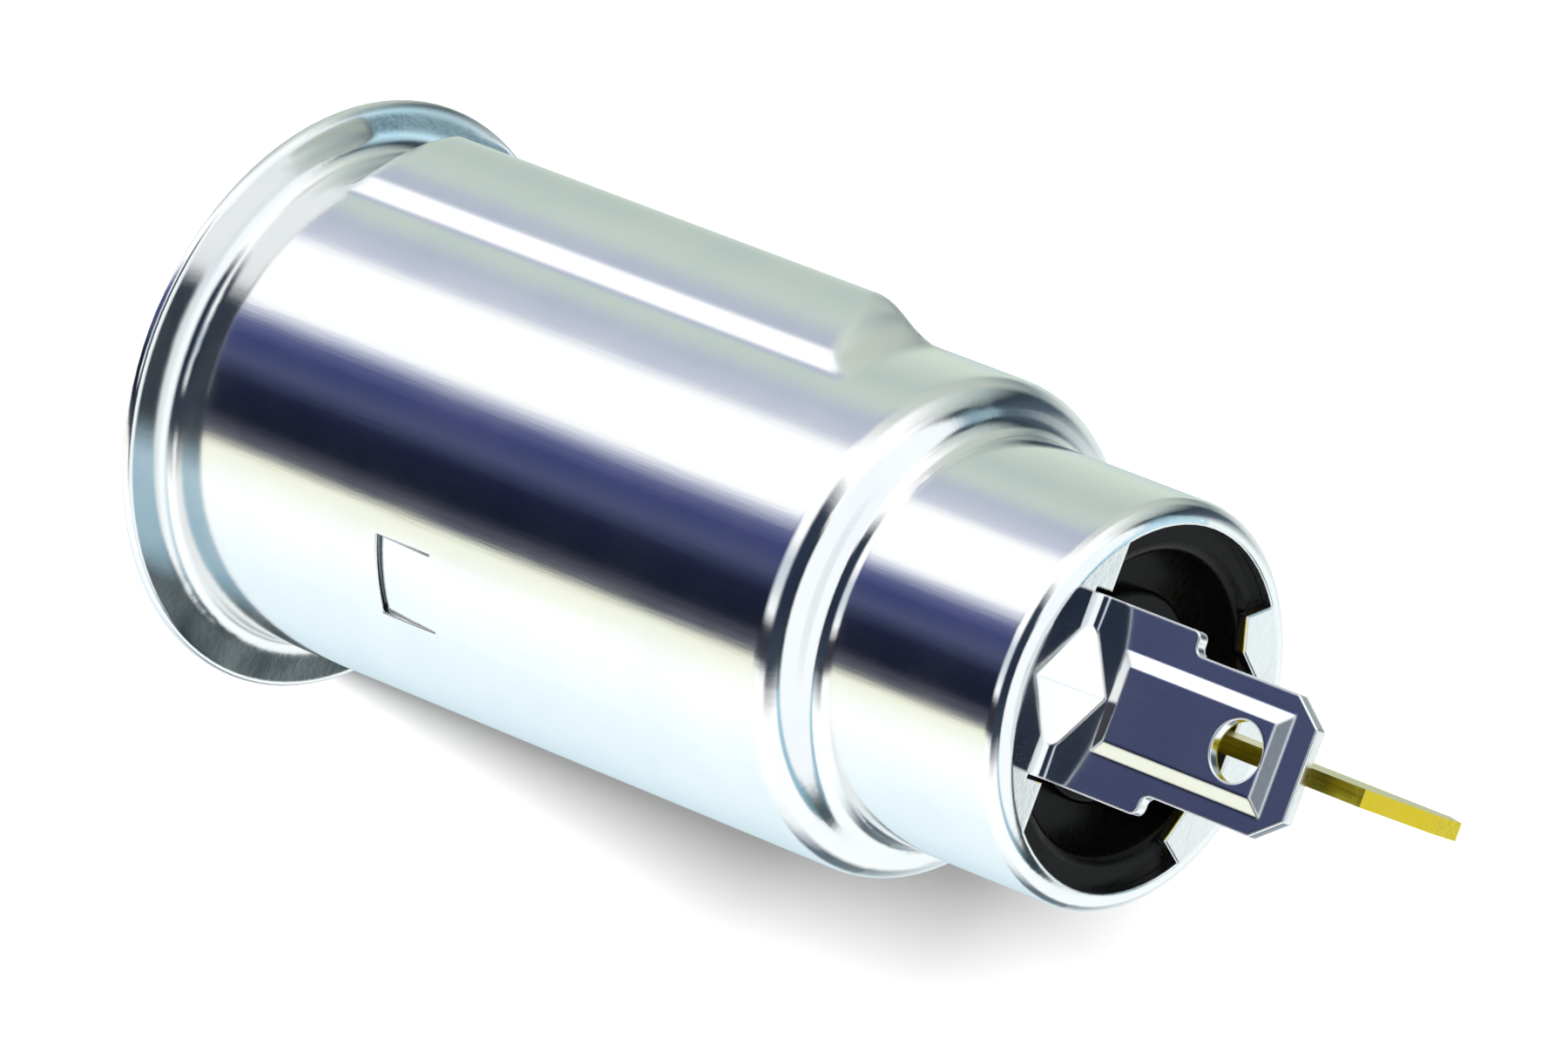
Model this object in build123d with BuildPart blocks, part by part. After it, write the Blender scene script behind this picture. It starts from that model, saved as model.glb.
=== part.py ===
from build123d import *
import os
from math import asin, cos, degrees, radians, sin, sqrt, tan

# Car 12 volt power socket. The mouth is down on the plane z = 0 and the terminals point up.
# The ground blade faces -Y. Sizes are in millimetres and angles in degrees.

# Drawn steel shell
SHEET = 0.55
PLUG_BORE = 21.5
FLANGE_DIAMETER = 27.2
BARREL_LENGTH = 37.6
NECK_DIAMETER = 18.4
SHELL_LENGTH = 48.9
SHOULDER_SLOPE = 20.0
FLANGE_BEND = 0.75
SHOULDER_ROUND = 1.6
SHOULDER_ROOT = 1.0
END_ROUND = 0.9
FLANGE_EDGE_ROUND = 0.2

# Key rib pressed out of the barrel, low on the side of the ground blade and high on the other
RIB_ANGLE = 204.0
RIB_WIDTH = 6.1
RIB_HEIGHT = 1.85
RIB_RUN = 1.0
RIB_LOW_HEIGHT = 0.5
RIB_LOW_RUN = 0.7
RIB_START = 1.9
RIB_END = 33.6
RIB_FRONT_SLOPE = 65.0
RIB_REAR_SLOPE = 42.0
RIB_ROUND = 0.7
RIB_SKIRT = 1.0
RIB_BLEND = 0.03

# Spring tangs lanced from the barrel
TANG_ANGLE = 305.0
TANG_COUNT = 2
TANG_WIDTH = 3.8
TANG_LENGTH = 3.1
TANG_FREE_END = 13.9
TANG_SINK = 0.2
TANG_SLIT = 0.2
TANG_SIDE_GAP = 0.06

# Opening in the end disc, from which the ground blade is lanced
OPENING_RADIUS = 8.2
OPENING_FRONT = 5.0
RELIEF_WIDTH = 0.2
LEDGE_SIDE = 5.75
LEDGE_HORN_HALF = 5.1
LEDGE_HORN = 4.35
LEDGE_MIDDLE_HALF = 3.6
LEDGE_MIDDLE = 5.0
LEDGE_NOTCH_WIDTH = 5.4
LEDGE_NOTCH = 6.4

# Ground blade, one piece with the shell
BLADE_OFFSET = 5.5
BLADE_BEND = 0.6
BLADE_ROOT_WIDTH = 8.2
BLADE_ROOT_LENGTH = 5.65
BLADE_WIDTH = 6.3
BLADE_LENGTH = 7.4
BLADE_THICKNESS = 0.8
BLADE_TIP_CUT = 1.1
BLADE_TIP_TAPER = 1.5
BLADE_STEP_ROUND = 0.4
BLADE_STEP_ROUND_SHARE = 0.45
BLADE_HOLE = 2.7
BLADE_HOLE_FROM_TIP = 3.4
PANEL_WIDTH = 3.3
PANEL_SLOPE = 0.65
PANEL_START = 2.2
PANEL_FROM_TIP = 1.3
GUSSET_WIDTH = 7.2
GUSSET_REACH = 2.7
GUSSET_RISE = 2.3

# Moulded insulator that seats in the neck
INSULATOR_LENGTH = 6.0
INSULATOR_CLEARANCE = 0.05
INSULATOR_EDGE = 0.4
RIM_INSIDE = 13.4
RIM_ROUND = 0.6
MOAT_DEPTH = 2.0
BOSS_DIAMETER = 9.6
BOSS_DROP = 1.2
BOSS_ROUND = 0.3

# Brass hot terminal and centre contact
TERMINAL_WIDTH = 6.3
TERMINAL_THICKNESS = 0.8
TERMINAL_LENGTH = 17.0
TERMINAL_TIP_CUT = 2.3
TERMINAL_SHOULDER_WIDTH = 7.9
TERMINAL_SHOULDER_HEIGHT = 1.6
TENON_WIDTH = 4.0
TENON_CLEARANCE = 0.05
STAKE_WIDTH = 5.0
STAKE_THICKNESS = 1.8
STAKE_HEIGHT = 0.5
CONTACT_DIAMETER = 9.0
CONTACT_THICKNESS = 0.8
CONTACT_RECESS = 0.3
CONTACT_CLEARANCE = 0.1
CONTACT_EDGE_ROUND = 0.3

# Radii and levels that several features share
bore_radius = PLUG_BORE / 2
barrel_radius = bore_radius + SHEET
flange_radius = FLANGE_DIAMETER / 2
neck_radius = NECK_DIAMETER / 2
neck_start = BARREL_LENGTH + (barrel_radius - neck_radius) * tan(radians(SHOULDER_SLOPE))
disc_inside = SHELL_LENGTH - SHEET
blade_step = SHELL_LENGTH + BLADE_ROOT_LENGTH
blade_tip = blade_step + BLADE_LENGTH
blade_bend_top = SHELL_LENGTH + BLADE_BEND
bend_start = -BLADE_OFFSET - BLADE_BEND

# A cut through the sheet starts and ends this far off it, clear of what is pressed out of the sheet
through_cut = 4 * SHEET


def radial_plane(angle):
    """Upright plane through the axis, with its x direction pointing out at this angle."""
    turn = radians(angle)
    return Plane(origin=(0, 0, 0), x_dir=(cos(turn), sin(turn), 0), z_dir=(sin(turn), -cos(turn), 0))


def arc_span(width, radius):
    """Angle that a chord of this width takes up on a circle."""
    return 2 * degrees(asin(width / 2 / radius))


def polar(radius, angle):
    """Point at this radius and angle, in radians, round the axis."""
    return (radius * cos(angle), radius * sin(angle))


def arc_edge(radius, start, end):
    """Edge that follows a circle round the axis between two angles in radians."""
    ThreePointArc(polar(radius, start), polar(radius, (start + end) / 2), polar(radius, end))


def swept_wall(outline, middle_angle, span, mode=Mode.ADD):
    """Turns a closed outline of radius and height points about the axis through part of a circle."""
    with BuildSketch(radial_plane(middle_angle - span / 2)) as section:
        with BuildLine():
            Polyline(*outline, close=True)
        make_face()
    revolve(section.sketch, axis=Axis.Z, revolution_arc=span, mode=mode)


def rib_run_out(wall_radius, foot, slope, towards):
    """Curve along which an end of the rib rises from the wall, and the space outside it."""
    low = wall_radius - RIB_BLEND
    high = wall_radius + RIB_HEIGHT + RIB_BLEND
    bend = (high - low) / 2 / (1 - cos(radians(slope)))
    with BuildSketch(radial_plane(RIB_ANGLE - 90)) as cut:
        with BuildLine():
            rise = JernArc((low, foot), tangent=(0, towards), radius=bend, arc_size=-towards * slope)
            crest = JernArc(rise @ 1, tangent=rise % 1, radius=bend, arc_size=towards * slope)
            outside = high + RIB_HEIGHT
            beyond = foot - towards * RIB_HEIGHT
            Polyline(crest @ 1, (outside, (crest @ 1).Y), (outside, beyond), (low, beyond), (low, foot))
        make_face()
    return cut.sketch


def rib_bar(wall_radius):
    """Wedge with rounded corners that stands on a round wall and runs out at its ends."""
    foot = asin(RIB_WIDTH / 2 / barrel_radius)
    high_edge = RIB_RUN / barrel_radius - foot
    low_edge = foot - RIB_LOW_RUN / barrel_radius
    skirt = foot + RIB_SKIRT / barrel_radius
    high = wall_radius + RIB_HEIGHT
    low = wall_radius + RIB_LOW_HEIGHT
    inside = wall_radius - SHEET / 2
    turn = radians(RIB_ANGLE)
    level = Plane(origin=(0, 0, RIB_START), x_dir=(cos(turn), sin(turn), 0), z_dir=(0, 0, 1))
    with BuildPart() as bar:
        with BuildSketch(level) as section:
            with BuildLine():
                arc_edge(wall_radius, -skirt, -foot)
                Line(polar(wall_radius, -foot), polar(high, high_edge))
                crest_middle = polar((high + low) / 2, (high_edge + low_edge) / 2)
                ThreePointArc(polar(high, high_edge), crest_middle, polar(low, low_edge))
                Line(polar(low, low_edge), polar(wall_radius, foot))
                arc_edge(wall_radius, foot, skirt)
                Line(polar(wall_radius, skirt), polar(inside, skirt))
                arc_edge(inside, skirt, -skirt)
                Line(polar(inside, -skirt), polar(wall_radius, -skirt))
            make_face()
            bar_half = inside * sin((foot + skirt) / 2)
            corners = section.vertices().filter_by(lambda corner: abs(corner.Y) < bar_half)
            fillet(corners, radius=RIB_ROUND)
        extrude(amount=RIB_END - RIB_START)
        for end, slope, towards in ((RIB_START, RIB_FRONT_SLOPE, 1), (RIB_END, RIB_REAR_SLOPE, -1)):
            revolve(
                rib_run_out(wall_radius, end, slope, towards),
                axis=Axis.Z,
                revolution_arc=180,
                mode=Mode.SUBTRACT,
            )
    return bar.part


with BuildPart() as shell:
    # Flange, barrel, shoulder, neck and end disc are one sheet section turned about the axis
    with BuildSketch(Plane.XZ):
        with BuildLine():
            FilletPolyline(
                (flange_radius, SHEET),
                (barrel_radius, SHEET),
                (barrel_radius, BARREL_LENGTH),
                (neck_radius, neck_start),
                (neck_radius, SHELL_LENGTH),
                (0, SHELL_LENGTH),
                radius=(FLANGE_BEND, SHOULDER_ROUND, SHOULDER_ROOT, END_ROUND),
            )
            offset(amount=SHEET, side=Side.LEFT)
        make_face()
    revolve(axis=Axis.Z)
    flange_edges = shell.edges().filter_by(GeomType.CIRCLE).sort_by(SortBy.RADIUS)[-2:]
    fillet(flange_edges, radius=FLANGE_EDGE_ROUND)

    # Key rib: the groove inside follows the wedge outside, so that the sheet keeps its thickness
    add(rib_bar(barrel_radius))
    add(rib_bar(bore_radius), mode=Mode.SUBTRACT)

    # Spring tangs: a window in the wall, and a tongue that leans in from the window's rear edge
    tang_hinge = TANG_FREE_END + TANG_LENGTH
    tongue = [
        (bore_radius, tang_hinge),
        (barrel_radius, tang_hinge),
        (barrel_radius - TANG_SINK, TANG_FREE_END),
        (bore_radius - TANG_SINK, TANG_FREE_END),
    ]
    window = [
        (bore_radius - SHEET, tang_hinge),
        (barrel_radius + SHEET, tang_hinge),
        (barrel_radius + SHEET, TANG_FREE_END - TANG_SLIT),
        (bore_radius - SHEET, TANG_FREE_END - TANG_SLIT),
    ]
    for tang in range(TANG_COUNT):
        tang_middle = TANG_ANGLE + tang * 360 / TANG_COUNT
        window_span = arc_span(TANG_WIDTH + 2 * TANG_SIDE_GAP, barrel_radius)
        swept_wall(window, tang_middle, window_span, mode=Mode.SUBTRACT)
        swept_wall(tongue, tang_middle, arc_span(TANG_WIDTH, barrel_radius))

    # Opening in the end disc: straight in front, round at the sides, and notched behind by the blade's tip
    opening_corner = sqrt(OPENING_RADIUS ** 2 - OPENING_FRONT ** 2)
    ledge_corner = sqrt(OPENING_RADIUS ** 2 - LEDGE_SIDE ** 2)
    relief = BLADE_ROOT_WIDTH / 2 + RELIEF_WIDTH
    with BuildSketch(Plane.XY.offset(SHELL_LENGTH + through_cut)):
        with BuildLine():
            Polyline(
                (0, bend_start),
                (relief, bend_start),
                (relief, -OPENING_FRONT),
                (opening_corner, -OPENING_FRONT),
            )
            ThreePointArc(
                (opening_corner, -OPENING_FRONT), (OPENING_RADIUS, 0), (ledge_corner, LEDGE_SIDE)
            )
            Polyline(
                (ledge_corner, LEDGE_SIDE),
                (LEDGE_HORN_HALF, LEDGE_HORN),
                (LEDGE_MIDDLE_HALF, LEDGE_MIDDLE),
                (LEDGE_NOTCH_WIDTH / 2, LEDGE_NOTCH),
                (0, LEDGE_NOTCH),
            )
            mirror(about=Plane.YZ)
        make_face()
    extrude(amount=-2 * through_cut, mode=Mode.SUBTRACT)

    # Bend that carries the ground blade up from the lip of the opening
    lip_start = bend_start - SHEET
    with BuildSketch(Plane.YZ):
        with BuildLine():
            lip_outside = Line((lip_start, SHELL_LENGTH), (bend_start, SHELL_LENGTH))
            inside_bend = JernArc(lip_outside @ 1, tangent=(1, 0), radius=BLADE_BEND, arc_size=90)
            blade_edge = Line(inside_bend @ 1, (SHEET - BLADE_OFFSET, blade_bend_top))
            outside_bend = JernArc(blade_edge @ 1, tangent=(0, -1), radius=BLADE_BEND + SHEET, arc_size=-90)
            Polyline(outside_bend @ 1, (lip_start, disc_inside), (lip_start, SHELL_LENGTH))
        make_face()
    extrude(amount=BLADE_ROOT_WIDTH / 2, both=True)

    # Blade outline: a wide root, a step on each side, and a cut corner on each side of the tip
    with BuildSketch(Plane.XZ.offset(BLADE_OFFSET)) as blade:
        with BuildLine():
            Polyline(
                (0, blade_bend_top),
                (BLADE_ROOT_WIDTH / 2, blade_bend_top),
                (BLADE_ROOT_WIDTH / 2, blade_step),
                (BLADE_WIDTH / 2, blade_step),
                (BLADE_WIDTH / 2, blade_tip - BLADE_TIP_TAPER),
                (BLADE_WIDTH / 2 - BLADE_TIP_CUT, blade_tip),
                (0, blade_tip),
            )
            mirror(about=Plane.YZ)
        make_face()
        step_corners = blade.vertices().filter_by(lambda corner: abs(corner.Y - blade_step) < SHEET)
        step_width = (BLADE_ROOT_WIDTH - BLADE_WIDTH) / 2
        fillet(step_corners, radius=min(BLADE_STEP_ROUND, BLADE_STEP_ROUND_SHARE * step_width))
    extrude(amount=-SHEET)

    # Raised panel that brings the blade to its plug-in thickness, hollow behind
    panel_start = SHELL_LENGTH + PANEL_START
    panel_end = blade_tip - PANEL_FROM_TIP
    panel_middle = (panel_start + panel_end) / 2
    panel_rise = BLADE_THICKNESS - SHEET
    for face_offset, panel_mode in ((BLADE_OFFSET, Mode.ADD), (BLADE_OFFSET - SHEET, Mode.SUBTRACT)):
        with BuildSketch(Plane.XZ.offset(face_offset)):
            with Locations((0, panel_middle)):
                Rectangle(PANEL_WIDTH + 2 * PANEL_SLOPE, panel_end - panel_start)
        with BuildSketch(Plane.XZ.offset(face_offset + panel_rise)):
            with Locations((0, panel_middle)):
                Rectangle(PANEL_WIDTH, panel_end - panel_start - 2 * PANEL_SLOPE)
        loft(mode=panel_mode)

    # Gusset pressed across the bend: a ridge from the lip to the blade that dies out on both sides
    gusset_foot = SHELL_LENGTH - SHEET / 2
    for shift, gusset_mode in ((0, Mode.ADD), (SHEET, Mode.SUBTRACT)):
        gusset_back = shift - BLADE_OFFSET
        with BuildSketch(Plane.YZ, mode=Mode.PRIVATE) as ridge:
            with BuildLine():
                Polyline(
                    (gusset_back, gusset_foot - shift),
                    (gusset_back - GUSSET_REACH, gusset_foot - shift),
                    (gusset_back, gusset_foot - shift + GUSSET_RISE),
                    close=True,
                )
            make_face()
        for side in (-1, 1):
            gusset_end = Vertex(side * GUSSET_WIDTH / 2, gusset_back, gusset_foot - shift)
            loft([ridge.sketch.face(), gusset_end], mode=gusset_mode)

    # Hole through the blade and its panel
    with BuildSketch(Plane.XZ.offset(BLADE_OFFSET + through_cut)):
        with Locations((0, blade_tip - BLADE_HOLE_FROM_TIP)):
            Circle(BLADE_HOLE / 2)
    extrude(amount=-2 * through_cut, mode=Mode.SUBTRACT)

with BuildPart() as insulator:
    # Round body that fits the neck and seats against the inside of the end disc
    insulator_radius = neck_radius - SHEET - INSULATOR_CLEARANCE
    insulator_start = disc_inside - INSULATOR_LENGTH
    with BuildSketch(Plane.XY.offset(insulator_start)):
        Circle(insulator_radius)
    extrude(amount=INSULATOR_LENGTH)
    chamfer(insulator.edges().filter_by(GeomType.CIRCLE), length=INSULATOR_EDGE)

    # Round moat behind the opening that leaves a rim against the lip and a boss for the terminal
    boss_top = disc_inside - BOSS_DROP
    with BuildSketch(Plane.XY.offset(disc_inside)):
        Circle(RIM_INSIDE / 2)
    extrude(amount=-BOSS_DROP, mode=Mode.SUBTRACT)
    with BuildSketch(Plane.XY.offset(boss_top)):
        Circle(RIM_INSIDE / 2)
        Circle(BOSS_DIAMETER / 2, mode=Mode.SUBTRACT)
    extrude(amount=BOSS_DROP - MOAT_DEPTH, mode=Mode.SUBTRACT)
    rim_edge = insulator.faces().sort_by(Axis.Z)[-1].edges().sort_by(SortBy.RADIUS)[0]
    fillet(rim_edge, radius=RIM_ROUND)
    boss_edge = insulator.edges().filter_by(GeomType.CIRCLE).filter_by_position(Axis.Z, boss_top, boss_top)
    fillet(boss_edge, radius=BOSS_ROUND)

    # Recess for the contact and slot for the terminal's tenon
    with BuildSketch(Plane.XY.offset(insulator_start)):
        Circle(CONTACT_DIAMETER / 2 + CONTACT_CLEARANCE)
    extrude(amount=CONTACT_RECESS, mode=Mode.SUBTRACT)
    with BuildSketch(Plane.XY.offset(insulator_start)):
        Rectangle(TERMINAL_THICKNESS + 2 * TENON_CLEARANCE, TENON_WIDTH + 2 * TENON_CLEARANCE)
    extrude(amount=INSULATOR_LENGTH, mode=Mode.SUBTRACT)

contact_seat = insulator_start + CONTACT_RECESS
contact_face = contact_seat - CONTACT_THICKNESS

with BuildPart() as centre_contact:
    # Round contact seen at the bottom of the plug well, slotted for the tenon
    with BuildSketch(Plane.XY.offset(contact_face)):
        Circle(CONTACT_DIAMETER / 2)
        Rectangle(
            TERMINAL_THICKNESS + 2 * TENON_CLEARANCE, TENON_WIDTH + 2 * TENON_CLEARANCE, mode=Mode.SUBTRACT
        )
    extrude(amount=CONTACT_THICKNESS)
    contact_rim = centre_contact.faces().sort_by(Axis.Z)[0].edges().filter_by(GeomType.CIRCLE)
    fillet(contact_rim, radius=CONTACT_EDGE_ROUND)

with BuildPart() as hot_terminal:
    # Flat blade on the axis, with shoulders on the insulator and a tenon that passes through it
    terminal_tip = SHELL_LENGTH + TERMINAL_LENGTH
    shoulder_top = boss_top + TERMINAL_SHOULDER_HEIGHT
    with BuildSketch(Plane.YZ) as terminal:
        with BuildLine():
            Polyline(
                (0, contact_face),
                (TENON_WIDTH / 2, contact_face),
                (TENON_WIDTH / 2, boss_top),
                (TERMINAL_SHOULDER_WIDTH / 2, boss_top),
                (TERMINAL_SHOULDER_WIDTH / 2, shoulder_top),
                (TERMINAL_WIDTH / 2, shoulder_top),
                (TERMINAL_WIDTH / 2, terminal_tip - TERMINAL_TIP_CUT),
                (TERMINAL_WIDTH / 2 - TERMINAL_TIP_CUT, terminal_tip),
                (0, terminal_tip),
            )
            mirror(about=Plane.YZ)
        make_face()
    extrude(amount=TERMINAL_THICKNESS / 2, both=True)

    # Tenon end staked over on the contact
    with BuildSketch(Plane.XY.offset(contact_face)):
        Rectangle(STAKE_THICKNESS, STAKE_WIDTH)
    extrude(amount=-STAKE_HEIGHT)

os.makedirs("parts", exist_ok=True)
pieces = {
    "shell": shell,
    "insulator": insulator,
    "hot_terminal": hot_terminal,
    "centre_contact": centre_contact,
}
for piece_name, piece in pieces.items():
    piece.part.label = piece_name
    export_step(piece.part, f"parts/{piece_name}.step")
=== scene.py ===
from math import cos, pi, radians, sin

import bmesh
import bpy
from mathutils import Matrix, Vector

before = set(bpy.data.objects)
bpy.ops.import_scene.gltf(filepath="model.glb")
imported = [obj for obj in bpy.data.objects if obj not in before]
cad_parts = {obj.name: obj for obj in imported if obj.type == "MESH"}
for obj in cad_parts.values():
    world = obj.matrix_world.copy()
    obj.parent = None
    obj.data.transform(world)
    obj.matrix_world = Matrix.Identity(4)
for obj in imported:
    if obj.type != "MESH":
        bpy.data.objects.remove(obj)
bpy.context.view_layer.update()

# One millimetre in Blender's metres
MM = 0.001
# Levels between which most of a noise pattern lies
NOISE_LOW = 0.3
NOISE_HIGH = 0.7
# Number of stops that a new colour ramp comes with
READY_STOPS = 2
# What a metal has in its shader's Metallic socket
FULL_METAL = 1.0
# Turns in degrees
HALF_TURN = 180
FULL_TURN = 360


def linear(hex_colour):
    """Turns an sRGB hex colour into the linear colour that Blender's sockets take."""
    brightest = 255
    toe_end = 0.04045
    toe_slope = 12.92
    offset = 0.055
    power = 2.4
    opaque = 1.0
    channels = [int(hex_colour[start:start + 2], 16) / brightest for start in (0, 2, 4)]
    curve = [
        level / toe_slope if level <= toe_end else ((level + offset) / (1 + offset)) ** power
        for level in channels
    ]
    return (*curve, opaque)


def add_node(tree, kind, settings=None, values=None, links=None, stops=()):
    """Adds a node with its properties, socket values, incoming links and ramp stops."""
    node = tree.nodes.new(kind)
    for name, value in (settings or {}).items():
        setattr(node, name, value)
    for socket, value in (values or {}).items():
        node.inputs[socket].default_value = value
    for socket, source in (links or {}).items():
        tree.links.new(source, node.inputs[socket])
    for index, (place, colour) in enumerate(stops):
        if index < READY_STOPS:
            stop = node.color_ramp.elements[index]
            stop.position = place
        else:
            stop = node.color_ramp.elements.new(place)
        stop.color = colour
    return node


def new_material(name):
    """Starts an empty node material and returns it with its tree and its output."""
    material = bpy.data.materials.new(name)
    material.use_nodes = True
    material.node_tree.nodes.clear()
    return material, material.node_tree, add_node(material.node_tree, "ShaderNodeOutputMaterial")


def plated_steel():
    """Drawn sheet steel with bright zinc plating.

    It is mirror-like, soft at its edges and faintly marked along the draw, and darker and rougher down the
    well.
    """
    # The plating is slightly cloudy
    cloud_size = 4.0 * MM
    cloud_detail = 4.0
    clear_level = 0.35
    cloudy_level = 0.65
    clear_roughness = 0.09
    cloudy_roughness = 0.13
    clear_tone = "E2E5E7"
    cloudy_tone = "E9EAE9"
    # Draw marks along the axis, coarser than real ones so that they show
    draw_mark_width = 0.35 * MM
    draw_mark_stretch = 0.06
    draw_mark_detail = 3.0
    draw_mark_breakup = 0.6
    draw_mark_depth = 0.02 * MM
    draw_mark_strength = 0.12
    # Darker colour and rougher gloss down the well, and the radii and heights over which they give way to
    # the bright plating
    well_tone = "727371"
    well_roughness = 0.26
    well_radius = 10.75 * MM
    barrel_radius = 11.05 * MM
    well_height = 30.0 * MM
    shoulder_height = 36.0 * MM
    across_axis = (1, 1, 0)
    # Radii of the soft edges in the light: cut edges, the pressed rib and the flange's bend
    cut_edge_round = 0.18 * MM
    rib_edge_round = 0.75 * MM
    flange_bend_round = 0.55 * MM
    edge_samples = 8
    # Direction of the rib, and the distances that way over which its softer edges begin
    rib_angle = radians(204.0)
    rib_direction = (cos(rib_angle), sin(rib_angle), 0)
    barrel_side = 9.9 * MM
    rib_side = 10.7 * MM
    # The bend's round dies out over these heights up the barrel, and over these radii towards the rim
    flange_bend_top = 1.6 * MM
    barrel_foot = 3.0 * MM
    flange_bend_side = 12.4 * MM
    flange_rim_side = 13.0 * MM

    material, tree, output = new_material("plated_steel")
    place = add_node(tree, "ShaderNodeTexCoord").outputs["Object"]
    along_axis = add_node(
        tree, "ShaderNodeMapping",
        values={"Scale": (1, 1, draw_mark_stretch)},
        links={"Vector": place},
    ).outputs["Vector"]
    draw_marks = add_node(
        tree, "ShaderNodeTexNoise",
        values={"Scale": 1 / draw_mark_width, "Detail": draw_mark_detail, "Roughness": draw_mark_breakup},
        links={"Vector": along_axis},
    )
    clouds = add_node(
        tree, "ShaderNodeTexNoise",
        values={"Scale": 1 / cloud_size, "Detail": cloud_detail},
        links={"Vector": place},
    )
    bright_gloss = add_node(
        tree, "ShaderNodeMapRange",
        values={
            "From Min": clear_level,
            "From Max": cloudy_level,
            "To Min": clear_roughness,
            "To Max": cloudy_roughness,
        },
        links={"Value": clouds.outputs["Fac"]},
    )
    across = add_node(
        tree, "ShaderNodeVectorMath", {"operation": "MULTIPLY"}, {1: across_axis}, {0: place}
    )
    from_axis = add_node(
        tree, "ShaderNodeVectorMath", {"operation": "LENGTH"}, links={0: across.outputs["Vector"]}
    )
    height = add_node(tree, "ShaderNodeSeparateXYZ", links={"Vector": place}).outputs["Z"]
    outside = add_node(
        tree, "ShaderNodeMapRange",
        values={"From Min": well_radius, "From Max": barrel_radius},
        links={"Value": from_axis.outputs["Value"]},
    )
    above_well = add_node(
        tree, "ShaderNodeMapRange",
        values={"From Min": well_height, "From Max": shoulder_height},
        links={"Value": height},
    )
    bright_share = add_node(
        tree, "ShaderNodeMath", {"operation": "MAXIMUM"},
        links={0: outside.outputs["Result"], 1: above_well.outputs["Result"]},
    ).outputs["Value"]
    plating_gloss = add_node(
        tree, "ShaderNodeMapRange",
        values={"To Min": well_roughness},
        links={"Value": bright_share, "To Max": bright_gloss.outputs["Result"]},
    )
    towards_rib = add_node(
        tree, "ShaderNodeVectorMath", {"operation": "DOT_PRODUCT"}, {1: rib_direction}, {0: place}
    )
    round_at_rib = add_node(
        tree, "ShaderNodeMapRange",
        values={
            "From Min": barrel_side,
            "From Max": rib_side,
            "To Min": cut_edge_round,
            "To Max": rib_edge_round,
        },
        links={"Value": towards_rib.outputs["Value"]},
    )
    round_at_rim = add_node(
        tree, "ShaderNodeMapRange",
        values={
            "From Min": flange_bend_side,
            "From Max": flange_rim_side,
            "To Min": flange_bend_round,
            "To Max": cut_edge_round,
        },
        links={"Value": from_axis.outputs["Value"]},
    )
    round_at_flange = add_node(
        tree, "ShaderNodeMapRange",
        values={"From Min": flange_bend_top, "From Max": barrel_foot, "To Max": cut_edge_round},
        links={"Value": height, "To Min": round_at_rim.outputs["Result"]},
    )
    edge_round = add_node(
        tree, "ShaderNodeMath", {"operation": "MAXIMUM"},
        links={0: round_at_rib.outputs["Result"], 1: round_at_flange.outputs["Result"]},
    )
    soft_edges = add_node(
        tree, "ShaderNodeBevel", {"samples": edge_samples}, links={"Radius": edge_round.outputs["Value"]}
    )
    draw_bump = add_node(
        tree, "ShaderNodeBump",
        values={"Strength": draw_mark_strength, "Distance": draw_mark_depth},
        links={"Height": draw_marks.outputs["Fac"], "Normal": soft_edges.outputs["Normal"]},
    )
    bright_colour = add_node(
        tree, "ShaderNodeValToRGB",
        links={"Fac": clouds.outputs["Fac"]},
        stops=((NOISE_LOW, linear(clear_tone)), (NOISE_HIGH, linear(cloudy_tone))),
    )
    plating_colour = add_node(
        tree, "ShaderNodeMix", {"data_type": "RGBA"}, {"A": linear(well_tone)},
        {"Factor": bright_share, "B": bright_colour.outputs["Color"]},
    )
    surface = add_node(
        tree, "ShaderNodeBsdfPrincipled",
        values={"Metallic": FULL_METAL},
        links={
            "Base Color": plating_colour.outputs["Result"],
            "Roughness": plating_gloss.outputs["Result"],
            "Normal": draw_bump.outputs["Normal"],
        },
    )
    tree.links.new(surface.outputs["BSDF"], output.inputs["Surface"])
    return material


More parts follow.
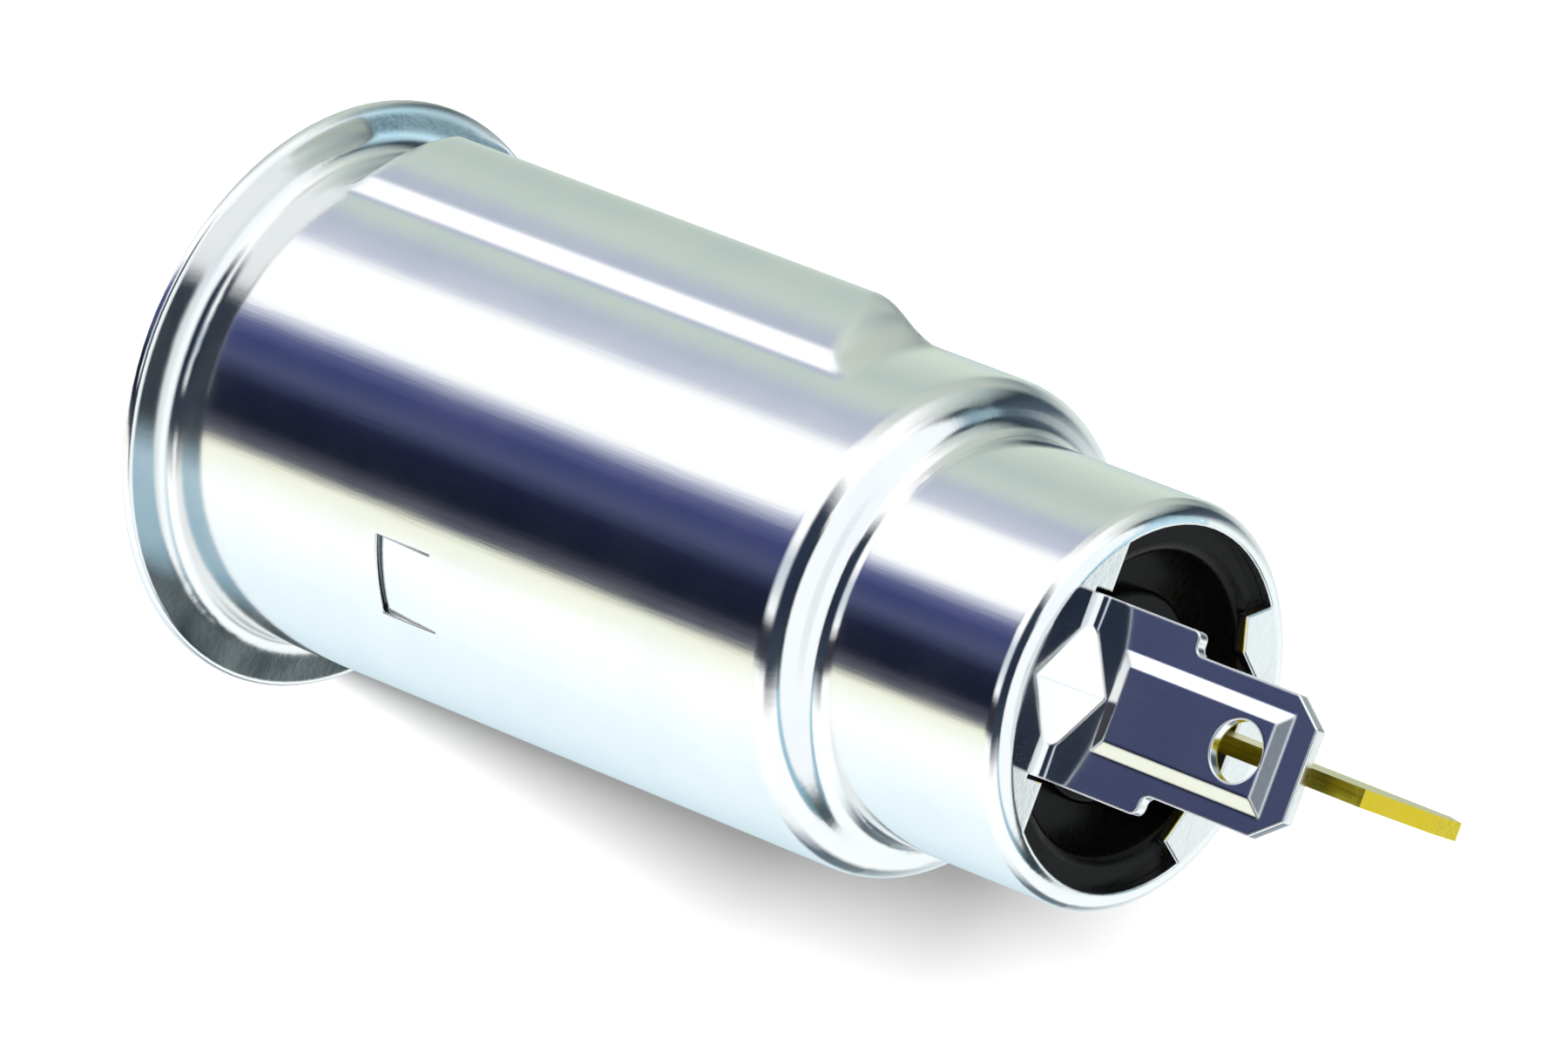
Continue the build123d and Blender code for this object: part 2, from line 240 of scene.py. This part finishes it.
def black_moulding():
    """Black phenolic moulding: near-black, with a soft gloss and a fine grain from the tool."""
    # Grain coarser than the real one so that it shows
    grain_size = 0.25 * MM
    grain_detail = 2.0
    grain_depth = 0.01 * MM
    grain_strength = 0.08
    hollow_roughness = 0.22
    crest_roughness = 0.34
    hollow_tone = "020202"
    crest_tone = "050505"
    resin_ior = 1.5
    resin_specular = 0.12

    material, tree, output = new_material("black_moulding")
    place = add_node(tree, "ShaderNodeTexCoord").outputs["Object"]
    grain = add_node(
        tree, "ShaderNodeTexNoise",
        values={"Scale": 1 / grain_size, "Detail": grain_detail},
        links={"Vector": place},
    )
    grain_bump = add_node(
        tree, "ShaderNodeBump",
        values={"Strength": grain_strength, "Distance": grain_depth},
        links={"Height": grain.outputs["Fac"]},
    )
    grain_gloss = add_node(
        tree, "ShaderNodeMapRange",
        values={
            "From Min": NOISE_LOW,
            "From Max": NOISE_HIGH,
            "To Min": hollow_roughness,
            "To Max": crest_roughness,
        },
        links={"Value": grain.outputs["Fac"]},
    )
    grain_colour = add_node(
        tree, "ShaderNodeValToRGB",
        links={"Fac": grain.outputs["Fac"]},
        stops=((NOISE_LOW, linear(hollow_tone)), (NOISE_HIGH, linear(crest_tone))),
    )
    surface = add_node(
        tree, "ShaderNodeBsdfPrincipled",
        values={"IOR": resin_ior, "Specular IOR Level": resin_specular},
        links={
            "Base Color": grain_colour.outputs["Color"],
            "Roughness": grain_gloss.outputs["Result"],
            "Normal": grain_bump.outputs["Normal"],
        },
    )
    tree.links.new(surface.outputs["BSDF"], output.inputs["Surface"])
    return material


def stamped_brass():
    """Half-hard brass strip, rolled and stamped: yellow, with rolling lines along the blade."""
    # Rolling lines coarser than real ones so that they show
    rolling_line_width = 0.2 * MM
    rolling_line_stretch = 0.05
    rolling_line_detail = 2.0
    dark_line_roughness = 0.2
    pale_line_roughness = 0.3
    dark_line_tone = "D6BE2C"
    pale_line_tone = "E8D447"

    material, tree, output = new_material("stamped_brass")
    place = add_node(tree, "ShaderNodeTexCoord").outputs["Object"]
    along_blade = add_node(
        tree, "ShaderNodeMapping",
        values={"Scale": (1, 1, rolling_line_stretch)},
        links={"Vector": place},
    ).outputs["Vector"]
    rolling_lines = add_node(
        tree, "ShaderNodeTexNoise",
        values={"Scale": 1 / rolling_line_width, "Detail": rolling_line_detail},
        links={"Vector": along_blade},
    )
    line_gloss = add_node(
        tree, "ShaderNodeMapRange",
        values={
            "From Min": NOISE_LOW,
            "From Max": NOISE_HIGH,
            "To Min": dark_line_roughness,
            "To Max": pale_line_roughness,
        },
        links={"Value": rolling_lines.outputs["Fac"]},
    )
    line_colour = add_node(
        tree, "ShaderNodeValToRGB",
        links={"Fac": rolling_lines.outputs["Fac"]},
        stops=((NOISE_LOW, linear(dark_line_tone)), (NOISE_HIGH, linear(pale_line_tone))),
    )
    surface = add_node(
        tree, "ShaderNodeBsdfPrincipled",
        values={"Metallic": FULL_METAL},
        links={"Base Color": line_colour.outputs["Color"], "Roughness": line_gloss.outputs["Result"]},
    )
    tree.links.new(surface.outputs["BSDF"], output.inputs["Surface"])
    return material


def dress_nodes():
    """Gives each CAD node the finish of its real piece."""
    brass = stamped_brass()
    finishes = {
        "shell": plated_steel(),
        "insulator": black_moulding(),
        "hot_terminal": brass,
        "centre_contact": brass,
    }
    for name, finish in finishes.items():
        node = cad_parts[name]
        node.data.materials.clear()
        node.data.materials.append(finish)


def white_floor():
    """Plain white floor under the flange.

    It keeps the shadow. Mirrors don't show it, and it is clear to an eye below it.
    """
    floor_reach = 3.0
    floor_drop = 0.02 * MM
    floor_tone = "F0F0F0"
    mesh = bpy.data.meshes.new("floor")
    shape = bmesh.new()
    below_flange = Matrix.Translation((0, 0, -floor_drop))
    bmesh.ops.create_grid(shape, x_segments=1, y_segments=1, size=floor_reach, matrix=below_flange)
    shape.to_mesh(mesh)
    shape.free()
    material, tree, output = new_material("floor_paint")
    paint = add_node(tree, "ShaderNodeBsdfDiffuse", values={"Color": linear(floor_tone)})
    clear = add_node(tree, "ShaderNodeBsdfTransparent")
    underside = add_node(tree, "ShaderNodeNewGeometry").outputs["Backfacing"]
    finish = add_node(
        tree, "ShaderNodeMixShader",
        links={0: underside, 1: paint.outputs["BSDF"], 2: clear.outputs["BSDF"]},
    )
    tree.links.new(finish.outputs["Shader"], output.inputs["Surface"])
    mesh.materials.append(material)
    floor = bpy.data.objects.new("floor", mesh)
    floor.visible_glossy = False
    bpy.context.collection.objects.link(floor)


# What stands round the socket, seen only where it is mirrored. Each ring lists colours by the angle in
# degrees, round from the front of the ground blade towards -X. The low ring is well below the level, the
# middle one is just below it, and the high and upper ones are above it.
LOW_RING = (
    (-180, "AEBEC4"),
    (-158, "C6D8DF"),
    (-132, "DCEBF1"),
    (-100, "EAF6FA"),
    (-75, "FAFDFE"),
    (-62, "FFFFFF"),
    (-50, "F6F9F0"),
    (-42, "F0F1DC"),
    (-37, "585A66"),
    (-26, "161A2A"),
    (-10, "1C2038"),
    (0, "484E6E"),
    (10, "3A406C"),
    (17, "5A6088"),
    (23, "BABDD0"),
    (27, "FFFFFF"),
    (60, "FFFFFF"),
    (67, "BFC3D2"),
    (80, "B0B6C6"),
    (92, "BECAC2"),
    (110, "B4C0BA"),
    (150, "C6D2C6"),
    (180, "AEBEC4"),
)
MIDDLE_RING = (
    (-180, "E8EEEE"),
    (-160, "D5DEE1"),
    (-140, "6B7880"),
    (-126, "59666F"),
    (-108, "E9F0F2"),
    (-88, "FFFFFF"),
    (-42, "FFFFFF"),
    (-36, "3A3844"),
    (-22, "2A2834"),
    (-16, "FFFFFF"),
    (-6, "CFD6DC"),
    (6, "C4CCD6"),
    (16, "FFFFFF"),
    (58, "FFFFFF"),
    (76, "CDD0CE"),
    (98, "BFC7BC"),
    (122, "B2BAB2"),
    (140, "7E8A8C"),
    (158, "D2DAD8"),
    (180, "E8EEEE"),
)
HIGH_RING = (
    (-180, "F0F6F6"),
    (-60, "FFFFFF"),
    (-40, "38424E"),
    (-10, "232B3E"),
    (30, "2C3848"),
    (46, "FFFFFF"),
    (80, "FFFFFF"),
    (100, "CCD4CE"),
    (118, "A4B0AE"),
    (134, "2E3A44"),
    (150, "4A5A66"),
    (168, "F0F6F6"),
    (180, "F0F6F6"),
)
UPPER_RING = (
    (-180, "7CA2B2"),
    (-178.5, "162A30"),
    (-140, "20363E"),
    (-112, "8FB4C6"),
    (-60, "A8C8D8"),
    (-42, "28323E"),
    (-10, "141A2C"),
    (22, "1A2234"),
    (34, "FFFFFF"),
    (95, "FFFFFF"),
    (125, "26343F"),
    (168, "BCE0EE"),
    (177, "B4DAE8"),
    (180, "7CA2B2"),
)
OVERHEAD = "F4F8FA"
BACKDROP = "FFFFFF"
# Heights, in degrees from the level, between which each ring gives way to the one above it
LOW_TO_MIDDLE = (-31, -23)
MIDDLE_TO_HIGH = (-2, 8)
HIGH_TO_UPPER = (38.4, 39.6)
UPPER_TO_OVERHEAD = (46, 50)
# Strengths of the mirrored studio and of the sky that lights the part
STUDIO_STRENGTH = 1.3
SKY_STRENGTH = 0.5


def studio_world():
    """White to the eye and a pale sky as light; the part mirrors a studio of pale and dark areas."""
    flip = -1.0
    world = bpy.data.worlds.new("studio")
    bpy.context.scene.world = world
    world.use_nodes = True
    tree = world.node_tree
    tree.nodes.clear()
    output = add_node(tree, "ShaderNodeOutputWorld")
    direction = add_node(tree, "ShaderNodeTexCoord").outputs["Generated"]
    parts = add_node(tree, "ShaderNodeSeparateXYZ", links={"Vector": direction})
    to_left = add_node(
        tree, "ShaderNodeMath", {"operation": "MULTIPLY"}, {1: flip}, {0: parts.outputs["X"]}
    )
    to_front = add_node(
        tree, "ShaderNodeMath", {"operation": "MULTIPLY"}, {1: flip}, {0: parts.outputs["Y"]}
    )
    angle_round = add_node(
        tree, "ShaderNodeMath", {"operation": "ARCTAN2"},
        links={0: to_left.outputs["Value"], 1: to_front.outputs["Value"]},
    )
    share_round = add_node(
        tree, "ShaderNodeMapRange",
        values={"From Min": -pi, "From Max": pi},
        links={"Value": angle_round.outputs["Value"]},
    )
    height = add_node(
        tree, "ShaderNodeMath", {"operation": "ARCSINE"}, links={0: parts.outputs["Z"]}
    )
    rings = [
        add_node(
            tree, "ShaderNodeValToRGB",
            links={"Fac": share_round.outputs["Result"]},
            stops=[((angle + HALF_TURN) / FULL_TURN, linear(colour)) for angle, colour in ring],
        ).outputs["Color"]
        for ring in (LOW_RING, MIDDLE_RING, HIGH_RING, UPPER_RING)
    ]
    overhead = add_node(tree, "ShaderNodeRGB").outputs["Color"]
    overhead.default_value = linear(OVERHEAD)
    mirrored, *rings_above = rings
    joins = (LOW_TO_MIDDLE, MIDDLE_TO_HIGH, HIGH_TO_UPPER, UPPER_TO_OVERHEAD)
    for (join_start, join_end), above in zip(joins, (*rings_above, overhead)):
        share_above = add_node(
            tree, "ShaderNodeMapRange",
            values={"From Min": radians(join_start), "From Max": radians(join_end)},
            links={"Value": height.outputs["Value"]},
        )
        mirrored = add_node(
            tree, "ShaderNodeMix", {"data_type": "RGBA"},
            links={"Factor": share_above.outputs["Result"], "A": mirrored, "B": above},
        ).outputs["Result"]
    sky = add_node(tree, "ShaderNodeBackground", values={"Strength": SKY_STRENGTH})
    studio = add_node(
        tree, "ShaderNodeBackground", values={"Strength": STUDIO_STRENGTH}, links={"Color": mirrored}
    )
    seen_by = add_node(tree, "ShaderNodeLightPath")
    shown = add_node(
        tree, "ShaderNodeMixShader",
        links={
            0: seen_by.outputs["Is Glossy Ray"],
            1: sky.outputs["Background"],
            2: studio.outputs["Background"],
        },
    )
    backdrop = add_node(tree, "ShaderNodeBackground", values={"Color": linear(BACKDROP)})
    to_the_eye = add_node(
        tree, "ShaderNodeMixShader",
        links={
            0: seen_by.outputs["Is Camera Ray"],
            1: shown.outputs["Shader"],
            2: backdrop.outputs["Background"],
        },
    )
    tree.links.new(to_the_eye.outputs["Shader"], output.inputs["Surface"])


def soft_lamp():
    """One soft lamp at the viewer's side, so that the shadow falls behind the barrel."""
    lamp_place = Vector((-0.075, -0.53, 0.52))
    lamp_target = Vector((0, 0, 0.03))
    lamp_power = 11.0
    lamp_size = 0.1
    lamp = bpy.data.lights.new("soft_lamp", "AREA")
    lamp.energy = lamp_power
    lamp.size = lamp_size
    lamp_object = bpy.data.objects.new("soft_lamp", lamp)
    lamp_object.location = lamp_place
    lamp_object.visible_glossy = False
    lamp_object.rotation_euler = (lamp_target - lamp_place).to_track_quat("-Z", "Y").to_euler()
    bpy.context.collection.objects.link(lamp_object)


def photo_camera():
    """Camera at the photograph's angle.

    It looks down by 39 degrees and is rolled so that the mouth is at the left. The film and the lens are in
    millimetres.
    """
    camera_place = Vector((-17.196, -450.062, 397.484)) * MM
    camera_target = Vector((-1.354, 12.842, 16.079)) * MM
    camera_roll = radians(111.42)
    film_width = 36.0
    lens_length = 308.16
    nearest_shown = 0.01
    matrix_size = 4
    camera = bpy.data.cameras.new("photo_camera")
    camera.sensor_width = film_width
    camera.lens = lens_length
    camera.clip_start = nearest_shown
    camera_object = bpy.data.objects.new("photo_camera", camera)
    level = (camera_target - camera_place).to_track_quat("-Z", "Y").to_matrix().to_4x4()
    level_view = Matrix.Translation(camera_place) @ level
    camera_object.matrix_world = level_view @ Matrix.Rotation(camera_roll, matrix_size, "Z")
    bpy.context.collection.objects.link(camera_object)
    bpy.context.scene.camera = camera_object


dress_nodes()
white_floor()
studio_world()
soft_lamp()
photo_camera()
bpy.context.scene.view_settings.view_transform = "Standard"
